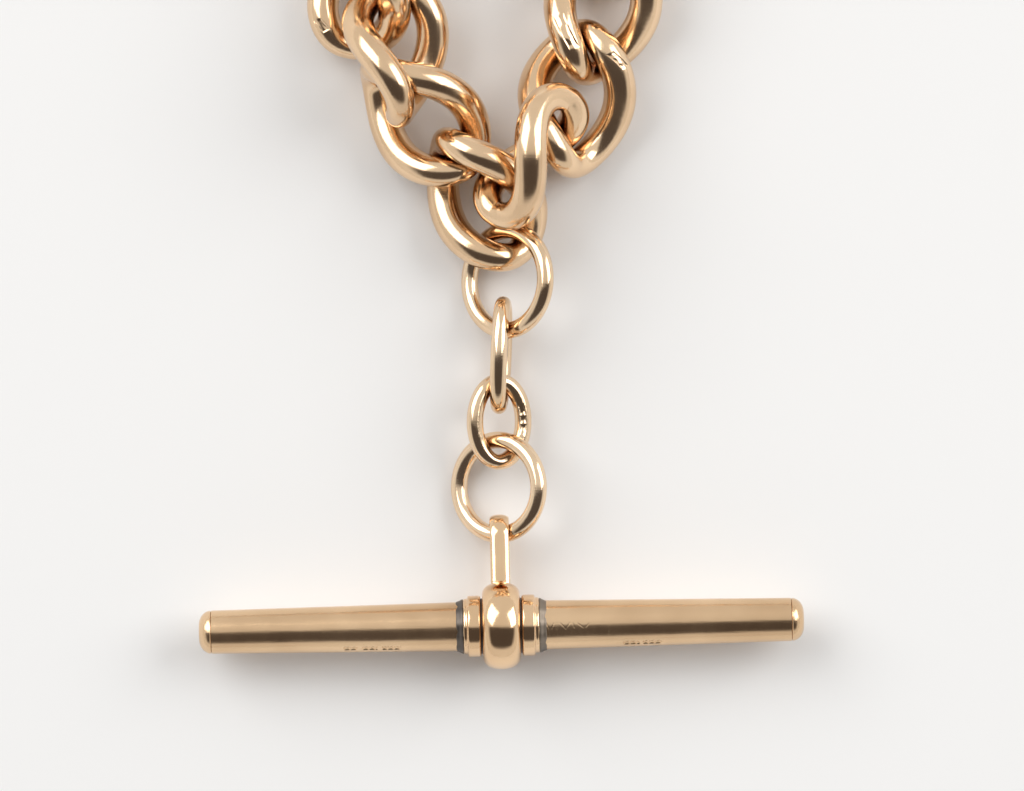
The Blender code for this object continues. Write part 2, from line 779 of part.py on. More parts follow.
def centre_on_origin(root):
    """Moves everything with its root, so that the box round the parts stands on the origin."""
    graph = bpy.context.evaluated_depsgraph_get()
    corners = []
    for obj in PARTS.objects:
        shape = obj.evaluated_get(graph)
        if shape.type == "EMPTY":
            continue
        data = shape.to_mesh()
        corners += [shape.matrix_world @ point.co for point in data.vertices]
        shape.to_mesh_clear()
    corners = np.array(corners)
    low, high = corners.min(0), corners.max(0)
    middle = (low + high) / 2
    root.location -= Vector((middle[0], middle[1], low[2]))


def main():
    middle, left, right, drop, bail = build_chain()
    radii = wire_radii(CURB_SIDE_WIRE, CURB_END_WIRE, TUBE_POINTS)
    root = add_wire_loop(middle, curb_line(TUBE_POINTS), radii, middle.centre)
    every = LINE_POINTS // RING_POINTS
    for side, run in (("left", left), ("right", right)):
        links, ring, eye = run[:-2], run[-2], run[-1]
        holder = root
        for parent, link in zip([middle, *links], links):
            pivot = hinge_point(parent, link)
            piece = add_wire_loop(link, curb_line(TUBE_POINTS), radii, pivot)
            attach(holder, piece)
            holder = piece
        pivot = hinge_point(links[-1], ring)
        piece = add_wire_loop(ring, ring.line[::every], ring.radii[::every], pivot)
        attach(holder, piece)
        attach(piece, build_swivel(side, eye, ring))
    holder = root
    for parent, loop in zip([middle, *drop], drop):
        pivot = hinge_point(parent, loop)
        piece = add_wire_loop(loop, loop.line[::every], loop.radii[::every], pivot)
        attach(holder, piece)
        holder = piece
    hinge = bpy.data.objects.new("bar_hinge", None)
    PARTS.objects.link(hinge)
    hinge.location = MM * Vector(hinge_point(drop[-1], bail))
    attach(holder, hinge)
    attach(hinge, *build_bar(bail))
    centre_on_origin(root)


clear_scene()
PARTS = make_collection("watch_chain")
TOOLS = make_collection("cutters", hidden=True)
main()
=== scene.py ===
"""The looks of a gentleman's double watch chain: fine wire, punch marks, solder and worn rose gold.

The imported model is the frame. Every link, ring and clasp is redrawn where its CAD piece lies, as a
fine mesh, and rides on the same body. Metres, +Z up, the table at Z = 0."""

import json
import math

import bmesh
import bpy
import numpy as np
from mathutils import Matrix, Vector


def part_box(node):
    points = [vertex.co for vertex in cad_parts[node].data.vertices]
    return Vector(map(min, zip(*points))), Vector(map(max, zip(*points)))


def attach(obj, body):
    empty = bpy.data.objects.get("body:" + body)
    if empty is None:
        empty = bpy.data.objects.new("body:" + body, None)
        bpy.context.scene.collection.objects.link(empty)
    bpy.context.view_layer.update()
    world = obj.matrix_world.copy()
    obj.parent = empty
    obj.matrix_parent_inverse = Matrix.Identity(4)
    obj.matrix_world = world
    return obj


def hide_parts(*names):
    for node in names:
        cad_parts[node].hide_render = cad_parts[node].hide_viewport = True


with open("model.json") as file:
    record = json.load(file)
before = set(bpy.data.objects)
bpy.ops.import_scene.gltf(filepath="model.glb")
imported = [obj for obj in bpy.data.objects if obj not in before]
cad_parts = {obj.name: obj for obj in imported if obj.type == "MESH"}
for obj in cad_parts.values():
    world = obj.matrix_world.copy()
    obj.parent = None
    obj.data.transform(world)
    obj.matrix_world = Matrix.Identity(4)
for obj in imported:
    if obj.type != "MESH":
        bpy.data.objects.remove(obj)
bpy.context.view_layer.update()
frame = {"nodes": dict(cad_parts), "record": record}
MM = 0.001

# The sizes that part.py gives the wires, in mm and degrees.
CURB_HALF_LENGTH = 3.98
CURB_HALF_WIDTH = 2.57
CURB_SIDE_WIRE = 1.96
CURB_END_WIRE = 1.58
CURB_TWIST = 109.0
DROP_WIRE = 1.0
DROP_END_WIRE = 0.94
END_RING_WIRE = 1.05

BAR_LENGTH = 36.0
BAR_MIDDLE_DIAMETER = 2.93
BAR_END_DIAMETER = 2.57
CAP_LENGTH = 0.75
CAP_FLAT = 0.9
CAP_SEAT = 0.02
BEAD_DIAMETER = 5.2
BEAD_WIDTH = 2.24
BEAD_SIDE_DIAMETER = 3.7
COLLAR_DIAMETER = 3.65
COLLAR_STEP_DIAMETER = 3.3
COLLAR_WIDTH = 0.78
COLLAR_STEP_WIDTH = 0.28
BAIL_DIP = -6.0
BAIL_REACH = 6.65
BAIL_OPENING = 1.85
BAIL_BAND = 1.15
BAIL_THICKNESS = 0.46
SEAM = 0.1
BORE = 0.4
CAP_BORE = 0.3

EYE_HALF = 2.0
EYE_WIRE = 1.07
SHANK_DIAMETER = 0.95
BUTTON_DIAMETER = 1.9
BUTTON_HEIGHT = 0.5
BARREL_START = 2.9
BARREL_LENGTH = 3.2
BARREL_DIAMETER = 4.2
BARREL_SHOULDER = 0.7
BARREL_ROUND = 0.5
HOOK_HALF_LENGTH = 5.45
HOOK_HALF_WIDTH = 3.55
HOOK_WIRE = 2.1
HOOK_TIP_WIRE = 1.5
HOOK_ROOT_ANGLE = 218.0
BEAK_ANGLE = 62.0
PIVOT_ANGLE = 220.0
GATE_TIP_ANGLE = 6.0
GATE_WIRE = 1.3
LUG_RADIUS = 1.15
LUG_HEIGHT = 2.36
SLOT_RADIUS = 1.27
SLOT_HEIGHT = 1.46
KNUCKLE_RADIUS = 0.85
KNUCKLE_HEIGHT = 0.65
KNUCKLE_GAP = 0.12
PIN_RADIUS = 0.35
PIN_END_RADIUS = 0.27
PIN_PROUD = 0.12
PIN_HOLE_RADIUS = 0.47
BORE_RADIUS = 0.595

# The photograph's view: its centre from the bar's middle, and its width on the table.
VIEW_ACROSS = 0.63
VIEW_BACK = 13.7
VIEW_WIDTH = 61.2
CAMERA_HEIGHT = 0.6
SENSOR = 36.0


# ---------------------------------------------------------------- places, read from the frame


def points_of(node):
    """The node's distinct vertices, in mm."""
    data = frame["nodes"][node].data
    flat = np.empty(len(data.vertices) * 3)
    data.vertices.foreach_get("co", flat)
    return np.unique(np.round(flat.reshape(-1, 3) / MM, 4), axis=0)


def lie_of(node):
    """(centre, axes) of a loop: its long axis, its width and its normal, right-handed."""
    points = points_of(node)
    centre = points.mean(0)
    _, _, rows = np.linalg.svd(points - centre, full_matrices=False)
    if np.linalg.det(rows) < 0:
        rows[2] = -rows[2]
    return centre, rows.T


def middle_of(node):
    low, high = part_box(node)
    return np.array((low + high) / 2) / MM


def body_of(node):
    for body, nodes in frame["record"]["behaviour"]["bodies"].items():
        if node in nodes:
            return body
    raise ValueError(node)


# ---------------------------------------------------------------- meshes


def new_piece(name, points, faces, material, cad_node, sharp=40.0):
    """A piece from points in mm, riding on its CAD node's body in that node's place."""
    data = bpy.data.meshes.new(name)
    data.from_pydata([tuple(point) for point in np.asarray(points) * MM], [], faces)
    return finish_piece(name, data, material, cad_node, sharp)


def finish_piece(name, data, material, cad_node, sharp=40.0):
    shape = bmesh.new()
    shape.from_mesh(data)
    bmesh.ops.recalc_face_normals(shape, faces=shape.faces)
    for face in shape.faces:
        face.smooth = True
    for edge in shape.edges:
        edge.smooth = edge.calc_face_angle(0) < math.radians(sharp)
    shape.to_mesh(data)
    shape.free()
    piece = bpy.data.objects.new(name, data)
    bpy.context.scene.collection.objects.link(piece)
    data.materials.clear()
    data.materials.append(material)
    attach(piece, body_of(cad_node))
    if cad_node not in replaced:
        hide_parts(cad_node)
        replaced.add(cad_node)
    return piece


replaced = set()


def unit(vectors):
    return vectors / np.linalg.norm(vectors, axis=-1, keepdims=True)


def tangents_of(line, closed):
    if closed:
        return unit(np.roll(line, -1, 0) - np.roll(line, 1, 0))
    return unit(np.gradient(line, axis=0))


def carried_sides(line, closed, start):
    """A side direction at each point, carried along the line without twisting, and closed up."""
    along = tangents_of(line, closed)
    side = unit(start - along[0] * (start @ along[0]))
    sides = [side]
    for here in along[1:]:
        side = unit(side - here * (side @ here))
        sides.append(side)
    sides = np.array(sides)
    if closed:
        last = unit(sides[-1] - along[0] * (sides[-1] @ along[0]))
        gap = math.atan2(np.cross(last, sides[0]) @ along[0], last @ sides[0])
        turned = gap * np.linspace(0, 1, len(line), endpoint=False)[:, None]
        sides = sides * np.cos(turned) + np.cross(along, sides) * np.sin(turned)
    return along, sides


def sweep(line, radii, closed, angles, start=(0, 0, 1), flatten=1.0, dents=None):
    """Points and faces of a wire along a line. `flatten` squeezes it across its start side, and
    `dents(k, angle)` says how deep the surface is punched there, in mm."""
    along, sides = carried_sides(line, closed, np.array(start, float))
    backs = np.cross(along, sides)
    reach = radii[:, None] * np.ones(len(angles))
    if dents is not None:
        reach = reach - dents(np.arange(len(line))[:, None], angles[None, :])
    rings = (
        line[:, None]
        + sides[:, None] * (reach * np.cos(angles) * flatten)[..., None]
        + backs[:, None] * (reach * np.sin(angles))[..., None]
    )
    count, around = len(line), len(angles)
    faces = []
    for k in range(count if closed else count - 1):
        a, b = k * around, (k + 1) % count * around
        for j in range(around):
            i = (j + 1) % around
            faces.append((a + j, a + i, b + i, b + j))
    points = rings.reshape(-1, 3)
    if not closed:
        faces += [tuple(range(around)), tuple(range((count - 1) * around, count * around))]
    return points, faces


def around(count):
    return np.linspace(0, math.tau, count, endpoint=False)


def lathe(profile, steps, dents=None):
    """Points and faces of a profile of (along, radius) turned about X, closed at both ends."""
    profile = np.array(profile, float)
    angles = around(steps) if isinstance(steps, int) else steps
    radii = profile[:, 1][:, None] * np.ones(len(angles))
    if dents is not None:
        radii = radii - dents(profile[:, 0][:, None], angles[None, :])
    points = np.stack(
        [
            profile[:, 0][:, None] * np.ones(len(angles)),
            radii * np.cos(angles),
            radii * np.sin(angles),
        ],
        axis=-1,
    ).reshape(-1, 3)
    steps = len(angles)
    faces = []
    for k in range(len(profile) - 1):
        for j in range(steps):
            i = (j + 1) % steps
            faces.append((k * steps + j, k * steps + i, (k + 1) * steps + i, (k + 1) * steps + j))
    last = (len(profile) - 1) * steps
    faces += [tuple(range(steps)), tuple(range(last, last + steps))]
    return points, faces


def rounded(corners, radius, steps=5):
    """A profile with its inner corners rounded by a quarter turn or less."""
    corners = [np.array(corner, float) for corner in corners]
    out = [corners[0]]
    for before, corner, after in zip(corners, corners[1:], corners[2:]):
        back = min(radius, np.linalg.norm(before - corner) / 2)
        ahead = min(radius, np.linalg.norm(after - corner) / 2)
        start = corner + unit(before - corner) * back
        end = corner + unit(after - corner) * ahead
        for t in np.linspace(0, 1, steps):
            out.append((1 - t) ** 2 * start + 2 * t * (1 - t) * corner + t**2 * end)
    return out + [corners[-1]]


def oval(half_length, half_width, twist, turns):
    lean = -math.radians(twist) / 2 * np.cos(turns)
    across = half_width * np.sin(turns)
    return np.stack(
        [half_length * np.cos(turns), across * np.cos(lean), across * np.sin(lean)], axis=-1
    )


def thickness(side, end, turns):
    return (end + (side - end) * np.abs(np.sin(turns))) / 2


# ---------------------------------------------------------------- materials


class Nodes:
    """Short names for making and linking shader nodes."""

    def __init__(self, tree):
        self.tree = tree

    def add(self, kind, **values):
        node = self.tree.nodes.new(kind)
        for name, value in values.items():
            setattr(node, name, value)
        return node

    def link(self, source, target):
        self.tree.links.new(source, target)

    def math(self, operation, one, two=0.0, third=None):
        node = self.add("ShaderNodeMath", operation=operation)
        for socket, value in zip(node.inputs, (one, two, third)):
            if isinstance(value, (int, float)):
                socket.default_value = value
            elif value is not None:
                self.link(value, socket)
        return node.outputs[0]

    def noise(self, where, scale, detail=2.0, rough=0.5):
        node = self.add("ShaderNodeTexNoise")
        node.inputs["Scale"].default_value = scale
        node.inputs["Detail"].default_value = detail
        node.inputs["Roughness"].default_value = rough
        self.link(where, node.inputs["Vector"])
        return node.outputs["Fac"]

    def ramp(self, factor, stops):
        node = self.add("ShaderNodeValToRGB")
        elements = node.color_ramp.elements
        while len(elements) < len(stops):
            elements.new(0.5)
        for element, (place, colour) in zip(elements, stops):
            element.position = place
            element.color = colour
        self.link(factor, node.inputs["Fac"])
        return node.outputs["Color"]

    def stretched(self, where, scale, turn=(0, 0, 0)):
        node = self.add("ShaderNodeMapping")
        node.inputs["Scale"].default_value = scale
        node.inputs["Rotation"].default_value = turn
        self.link(where, node.inputs["Vector"])
        return node.outputs["Vector"]


# Noise scales are in cycles per metre, and distances in metres.
DRIFT_SCALE = 190
SMEAR_SCALE = 420
DING_SCALE = 900
WAVE_SCALE = 260
ROUGH_SPREAD = 0.16
HAIR_ROUGHNESS = 0.10
DING_SHARE = 0.30
WAVE_SHARE = 0.9
HAIR_SHARE = 0.22
BUMP_STRENGTH = 0.32
BUMP_DEPTH = 0.00007
# Painted shade in hollows: how far the ambient occlusion looks, and the tint that darkens the base
# colour there.
SHADE_REACH = 0.0009
SHADE_TINT = (0.55, 0.42, 0.36, 1)
# Hairline scratches: how the noise is stretched across each set, and how the set is turned.
HAIRS = (((9000, 420, 700), (0.3, 0.2, 0.5)), ((500, 8000, 900), (0.1, 0.6, 0.9)))


def grey(value):
    return (value, value, value, 1)


def worn_metal(name, bright, deep, roughness=0.16, scratches=1.0):
    """Polished metal with colour drift, painted shade darkening its hollows, hairline scratches and
    tiny dings.
    """
    material = bpy.data.materials.new(name)
    material.use_nodes = True
    nodes = Nodes(material.node_tree)
    shader = material.node_tree.nodes["Principled BSDF"]
    shader.inputs["Metallic"].default_value = 1.0
    where = nodes.add("ShaderNodeTexCoord").outputs["Object"]

    drift = nodes.noise(where, DRIFT_SCALE, 3)
    colour = nodes.ramp(drift, ((0.3, deep), (0.62, bright)))
    # Painted shade: the base colour darkens towards the deep tone times the shade tint wherever
    # ambient occlusion finds a hollow or a gap between parts.
    hollow = nodes.add("ShaderNodeAmbientOcclusion", samples=6)
    hollow.inputs["Distance"].default_value = SHADE_REACH
    painted_shade = nodes.ramp(hollow.outputs["AO"], ((0.18, grey(0.0)), (0.62, grey(1.0))))
    shaded_colour = nodes.add("ShaderNodeMix", data_type="RGBA")
    nodes.link(painted_shade, shaded_colour.inputs["Factor"])
    shaded_colour.inputs["A"].default_value = tuple(c * d for c, d in zip(deep, SHADE_TINT))
    nodes.link(colour, shaded_colour.inputs["B"])
    nodes.link(shaded_colour.outputs["Result"], shader.inputs["Base Color"])

    smears = nodes.noise(where, SMEAR_SCALE, 4, 0.6)
    one, two = (nodes.noise(nodes.stretched(where, *hair), 1, 2) for hair in HAIRS)
    hairs = nodes.math("MULTIPLY", nodes.math("ADD", one, two), 0.5)
    rough = nodes.math("MULTIPLY_ADD", smears, ROUGH_SPREAD, roughness - ROUGH_SPREAD / 2)
    rough = nodes.math("MULTIPLY_ADD", hairs, HAIR_ROUGHNESS * scratches, rough)
    rough = nodes.math("SUBTRACT", rough, HAIR_ROUGHNESS / 2)
    nodes.link(rough, shader.inputs["Roughness"])

    dings = nodes.noise(where, DING_SCALE, 2)
    waves = nodes.math("MULTIPLY", nodes.noise(where, WAVE_SCALE, 1), WAVE_SHARE)
    height = nodes.math("MULTIPLY_ADD", dings, DING_SHARE, waves)
    height = nodes.math("MULTIPLY_ADD", hairs, HAIR_SHARE * scratches, height)
    bump = nodes.add("ShaderNodeBump")
    bump.inputs["Strength"].default_value = BUMP_STRENGTH
    bump.inputs["Distance"].default_value = BUMP_DEPTH
    nodes.link(height, bump.inputs["Height"])
    nodes.link(bump.outputs["Normal"], shader.inputs["Normal"])
    return material


def paper_floor():
    material = bpy.data.materials.new("pale_paper")
    material.use_nodes = True
    nodes = Nodes(material.node_tree)
    shader = material.node_tree.nodes["Principled BSDF"]
    where = nodes.add("ShaderNodeTexCoord").outputs["Object"]
    tone = nodes.noise(where, 6, 2)
    colour = nodes.ramp(tone, ((0.3, (0.895, 0.90, 0.905, 1)), (0.7, (0.92, 0.925, 0.93, 1))))
    nodes.link(colour, shader.inputs["Base Color"])
    shader.inputs["Roughness"].default_value = 0.9
    shader.inputs["Specular IOR Level"].default_value = 0.1
    return material


ROSE = (0.90, 0.655, 0.425, 1)
ROSE_DEEP = (0.74, 0.51, 0.31, 1)
curb_gold = worn_metal("curb_gold", ROSE, ROSE_DEEP, 0.17)
drop_gold = worn_metal("drop_gold", (0.93, 0.71, 0.49, 1), (0.80, 0.58, 0.37, 1), 0.13)
bar_gold = worn_metal("bar_gold", (0.85, 0.605, 0.375, 1), (0.70, 0.48, 0.285, 1), 0.19, 1.6)
bead_gold = worn_metal("bead_gold", (0.92, 0.665, 0.42, 1), (0.82, 0.565, 0.34, 1), 0.13)
clasp_gold = worn_metal("clasp_gold", ROSE, ROSE_DEEP, 0.15)
solder = worn_metal("grey_solder", (0.30, 0.25, 0.20, 1), (0.12, 0.105, 0.095, 1), 0.48, 0.5)
steel = worn_metal("spring_steel", (0.62, 0.60, 0.57, 1), (0.46, 0.44, 0.42, 1), 0.25)


# ---------------------------------------------------------------- links and rings

LINK_POINTS = 112
LINK_SIDES = 36

# Generic punched shields, as (across, back) from the bar's middle on the photographed side, with
# the half-length and half-width of each in mm and the number of pips in it.
LINK_MARKS = (
    (-10.67, 35.8, 0.34, 0.28, 1),
    (6.73, 33.65, 0.36, 0.3, 2),
    (3.5, 28.9, 0.4, 0.26, 3),
    (3.8, 35.4, 0.75, 0.34, 3),
    (1.41, 12.1, 0.8, 0.2, 4),
)
MARK_DEPTH = 0.06
MARK_CATCH = 0.22


class Loop:
    """A closed wire loop where its CAD node lies."""

    def __init__(self, node, half_length, half_width, side_wire, end_wire, twist, material):
        self.node, self.material = node, material
        self.half_length, self.half_width = half_length, half_width
        self.side_wire, self.end_wire, self.twist = side_wire, end_wire, twist
        self.centre, self.axes = lie_of(node)
        self.turns, self.angles = around(LINK_POINTS), around(LINK_SIDES)
        self.points, self.faces = self.swept()

    def swept(self, dents=None):
        line = oval(self.half_length, self.half_width, self.twist, self.turns)
        radii = thickness(self.side_wire, self.end_wire, self.turns)
        line = line @ self.axes.T + self.centre
        return sweep(line, radii, True, self.angles, self.axes[:, 2], dents=dents)

    def level_at(self, target):
        """The loop's highest level by a place on the table, and which of its points is there."""
        near = np.linalg.norm(self.points[:, :2] - target, axis=1) < MARK_CATCH
        level = np.where(near, self.points[:, 2], -np.inf)
        return level.max(), int(level.argmax())

    def punch(self, target, half, width, pips):
        """A shield-shaped mark sunk into the wire on its upper side."""
        _, best = self.level_at(target)
        turn, angle = self.turns[best // LINK_SIDES], self.angles[best % LINK_SIDES]
        reach, radius = (self.half_length + self.half_width) / 2, self.side_wire / 2
        fine = np.linspace(-1.4, 1.4, 61)
        turns = np.concatenate([self.turns, (turn + fine * half / reach) % math.tau])
        angles = np.concatenate([self.angles, (angle + fine * width / radius) % math.tau])
        self.turns, self.angles = np.unique(turns), np.unique(angles)

        def depth(k, here):
            u = wrapped(self.turns[k] - turn) * reach / half
            v = wrapped(here - angle) * radius / width
            shield = soft_box(np.maximum(np.abs(u), np.abs(v)), 0, 0.9, 0.25)
            rays = np.abs(np.cos(u * pips * 1.5)) + np.abs(v) - 0.5
            return MARK_DEPTH * shield * (0.55 + 0.45 * np.clip(rays, 0, 1))

        self.points, self.faces = self.swept(depth)

    def build(self):
        new_piece(f"{self.node}_fine", self.points, self.faces, self.material, self.node)


def wrapped(angle):
    return (angle + math.pi) % math.tau - math.pi


def wire_halves(node, wire):
    """Half the length and half the width of a loop's centre line, from its solid."""
    centre, axes = lie_of(node)
    local = np.abs((points_of(node) - centre) @ axes).max(0)
    return local[0] - wire / 2, local[1] - wire / 2


def loop_of(node):
    """The loop that a node is, or None where it isn't one."""
    if node.startswith("curb_") or node == "centre_curb_link":
        sizes = (CURB_HALF_LENGTH, CURB_HALF_WIDTH, CURB_SIDE_WIRE, CURB_END_WIRE)
        return Loop(node, *sizes, CURB_TWIST, curb_gold)
    if node.startswith("drop_ring"):
        half, _ = wire_halves(node, DROP_WIRE)
        return Loop(node, half, half, DROP_WIRE, DROP_WIRE, 0, drop_gold)
    if node.startswith("drop_link"):
        half_length, _ = wire_halves(node, DROP_END_WIRE)
        _, half_width = wire_halves(node, DROP_WIRE)
        return Loop(node, half_length, half_width, DROP_WIRE, DROP_END_WIRE, 0, drop_gold)
    if node.startswith("end_ring"):
        half, _ = wire_halves(node, END_RING_WIRE)
        return Loop(node, half, half, END_RING_WIRE, END_RING_WIRE, 0, clasp_gold)
    return None


def build_links():
    loops = [loop for loop in map(loop_of, frame["nodes"]) if loop]
    for across, back, half, width, pips in LINK_MARKS:
        target = middle_of("centre_bead")[:2] + (across, back)
        owner = max(loops, key=lambda loop: loop.level_at(target)[0])
        owner.punch(target, half, width, pips)
    for loop in loops:
        loop.build()


# ---------------------------------------------------------------- the T-bar

BAR_STEPS = 96


def bar_frame():
    """The bar's middle, and axes along it, back from it and up."""
    across = unit(middle_of("end_cap_right") - middle_of("end_cap_left"))
    up = np.array((0.0, 0.0, 1.0))
    back = unit(np.cross(up, across))
    return middle_of("centre_bead"), np.array((across, back, np.cross(across, back))).T


def on_bar(points):
    middle, axes = bar_frame()
    return points @ axes.T + middle


def turned_on_bar(name, profile, material, node, dents=None, steps=BAR_STEPS):
    points, faces = lathe(profile, steps, dents)
    return new_piece(name, on_bar(points), faces, material, node)


def build_bead():
    half, side, top = BEAD_WIDTH / 2, BEAD_SIDE_DIAMETER / 2, BEAD_DIAMETER / 2
    rim = [
        (-half * math.cos(t), side + (top - side) * math.sin(t) ** 0.85)
        for t in np.linspace(0, math.pi, 41)
    ]
    foot = [(-half, BORE), (-half, side * 0.6)]
    profile = [*foot, *rim, (half, side * 0.6), (half, BORE)]
    turned_on_bar("bead_fine", profile, bead_gold, "centre_bead")


def build_bar_half(side):
    sign = -1 if side == "left" else 1
    start = BEAD_WIDTH / 2 + SEAM
    step = start + COLLAR_WIDTH
    tube = step + COLLAR_STEP_WIDTH
    cap = BAR_LENGTH / 2 - CAP_LENGTH
    middle, end = BAR_MIDDLE_DIAMETER / 2, BAR_END_DIAMETER / 2
    collar, low = COLLAR_DIAMETER / 2, COLLAR_STEP_DIAMETER / 2

    def along(profile):
        return [(sign * x, radius) for x, radius in profile][::sign]

    seam = [(start - SEAM, 0.6), (start - SEAM, low), (start, low), (start, 0.6)]
    turned_on_bar(f"seam_{side}", along(seam), solder, f"collar_{side}")
    outline = [(start, BORE), (start, collar), (step, collar), (step, low), (tube, low)]
    outline.append((tube, BORE))
    turned_on_bar(f"collar_{side}_fine", along(rounded(outline, 0.16)), bead_gold, f"collar_{side}")
    fillet = [
        (tube - 0.02, middle - 0.2),
        (tube - 0.02, low - 0.02),
        (tube + 0.1, low - 0.06),
        (tube + 0.22, middle + 0.05),
        (tube + 0.42, middle + 0.005),
        (tube + 0.42, middle - 0.2),
    ]
    turned_on_bar(
        f"solder_{side}", along(rounded(fillet, 0.07)), solder, f"collar_{side}", uneven_solder
    )
    slope = (end - middle) / (cap - tube)
    rows = [(x, middle + slope * (x - tube)) for x in dense_along(tube, cap)]
    wall = [(rows[0][0], middle - 0.3), *rows, (rows[-1][0], end - 0.3)]
    turned_on_bar(
        f"bar_tube_{side}_fine",
        along(wall),
        bar_gold,
        f"bar_tube_{side}",
        bar_punches(side),
        bar_angles(),
    )
    dome = [
        (cap + CAP_LENGTH * math.sin(t), CAP_FLAT / 2 + (end - CAP_FLAT / 2) * math.cos(t))
        for t in np.linspace(0, math.pi / 2, 14)
    ]
    seat = cap + CAP_SEAT
    cap_outline = [(seat, CAP_BORE), (seat, end - 0.05), *dome[1:], (BAR_LENGTH / 2, 0.1)]
    turned_on_bar(f"cap_{side}_fine", along(cap_outline), bar_gold, f"end_cap_{side}")


def uneven_solder(x, angle):
    return 0.018 * (np.sin(5 * angle + 3 * x) + np.sin(11 * angle + 1.3))


# Punched marks on the bar's lower front: (first, last) along the bar from its middle, in mm, and
# the angle round it from the back over the top.
PUNCH_ANGLE = 146.0
LEFT_PUNCHES = ((-9.4, -8.6), (-8.3, -7.4), (-7.1, -6.0))
RIGHT_PUNCHES = ((7.2, 8.2), (8.4, 9.5))
PUNCH_DEPTH = 0.07
# The stretch of each tube that holds marks, and the spacing of the mesh there, in mm.
FINE_STRETCH = (2.6, 9.6, 0.03)
PUNCH_HALF_ANGLE = 7.5

# Strokes scratched on the right tube: place along the bar, lean, and half their angle.
SCRATCH_ANGLE = 92.0
SCRATCH_DEPTH = 0.012
SCRATCHES = (
    (2.75, 0.012, 9),
    (3.05, -0.010, 7),
    (3.3, 0.0, 9),
    (3.65, 0.022, 8),
    (3.95, -0.018, 8),
    (4.3, 0.006, 6),
    (4.7, 0.03, 6),
    (5.1, -0.02, 5),
)


def dense_along(first, last):
    """Places along a bar tube, close together where the punches are."""
    return np.unique(np.concatenate([np.linspace(first, last, 60), np.arange(*FINE_STRETCH)]))


def bar_angles():
    punched = np.radians(np.arange(PUNCH_ANGLE - 10, PUNCH_ANGLE + 10, 0.8))
    strokes = np.radians(np.arange(SCRATCH_ANGLE - 12, SCRATCH_ANGLE + 12, 1.2))
    return np.unique(np.concatenate([around(BAR_STEPS), punched, strokes]))


def bar_punches(side):
    spans = LEFT_PUNCHES if side == "left" else RIGHT_PUNCHES

    def depth(x, angle):
        total = 0.0
        for first, last in spans:
            along = soft_box(x, (first + last) / 2, (last - first) / 2, 0.05)
            over = soft_box(np.degrees(angle), PUNCH_ANGLE, PUNCH_HALF_ANGLE, 1.5)
            ridges = 0.65 + 0.35 * np.sin(x * 17 + np.degrees(angle) * 0.5)
            total = total + PUNCH_DEPTH * along * over * ridges
        if side == "right":
            total = total + scratched(x, np.degrees(angle))
        return total

    return depth


def scratched(x, degrees):
    """A worn row of hand-scratched strokes near the collar, too faint to read."""
    total = 0.0
    for place, lean, long in SCRATCHES:
        line = np.abs(x - place - lean * (degrees - SCRATCH_ANGLE))
        reach = soft_box(degrees, SCRATCH_ANGLE, long, 2.0)
        total = total + SCRATCH_DEPTH * np.clip(1 - line / 0.05, 0, 1) * reach
    return total


def soft_box(value, centre, half, soft):
    """1 inside centre ± half, 0 outside, with soft edges."""
    return np.clip((half + soft / 2 - np.abs(value - centre)) / soft, 0, 1)


def build_bail():
    """The bail's U: a flattened band whose ends are sunk into the bead."""
    half = (BAIL_OPENING + BAIL_THICKNESS) / 2
    round_centre = BAIL_REACH - BAIL_THICKNESS / 2 - half
    foot = math.sqrt((BEAD_DIAMETER / 2) ** 2 - half**2) + BAIL_THICKNESS / 2
    legs = np.linspace(foot, round_centre, 14)[:-1]
    bend = np.linspace(-math.pi / 2, math.pi / 2, 40)
    rows = [(0, y, -half) for y in legs]
    rows += [(0, round_centre + half * math.cos(t), half * math.sin(t)) for t in bend]
    rows += [(0, y, half) for y in legs[::-1]]
    line = np.array(rows)
    dip = np.array(Matrix.Rotation(math.radians(BAIL_DIP), 3, "X"))
    radii = np.full(len(line), BAIL_BAND / 2)
    flatten = BAIL_THICKNESS / BAIL_BAND
    points, faces = sweep(line, radii, False, around(40), (0, 0, 1), flatten)
    points = points @ dip.T
    new_piece("bail_fine", on_bar(points), faces, bead_gold, "bail", 60)


# ---------------------------------------------------------------- the swivel clasps


# The clasps' X, Y and Z in the world: both lie with their hooks away from the bar.
SWIVEL_AXES = ((0.0, 1.0, 0.0), (-1.0, 0.0, 0.0), (0.0, 0.0, 1.0))
CORE = 0.02
BARREL_EASE = 0.35
BARREL_STEPS = 72
HOOK_STEPS = 90
HOOK_SIDES = 32
PIN_STEPS = 40
CHAMFER = 0.06
BORE_FROM = 0.2
BORE_PAST = 1.5
GATE_STEPS = 48
GATE_SIDES = 28
GATE_RISE_STEPS = 18
GATE_RISE_POWER = 1.4
GATE_ROOT_WIRE = 0.585
PIN_CHAMFER_AT = 0.93
PIN_EASE = 0.08
PIN_SIDES = 32
SPRING_TURNS = 2
SPRING_STEPS = 73
SPRING_SIDES = 12
SPRING_RADIUS = 0.51
SPRING_WIRE = 0.15
SPRING_MIDDLE = 0.425
SPRING_HALF_HEIGHT = 0.1725
EYE_STEPS = 96
EYE_SIDES = 32
BUTTON_EASE = 0.1


def helper(name, points, faces):
    """A closed mesh from points in mm, for a Boolean."""
    data = bpy.data.meshes.new(name)
    data.from_pydata([tuple(point) for point in np.asarray(points) * MM], [], faces)
    shape = bmesh.new()
    shape.from_mesh(data)
    bmesh.ops.recalc_face_normals(shape, faces=shape.faces)
    shape.to_mesh(data)
    shape.free()
    obj = bpy.data.objects.new(name, data)
    bpy.context.scene.collection.objects.link(obj)
    return obj


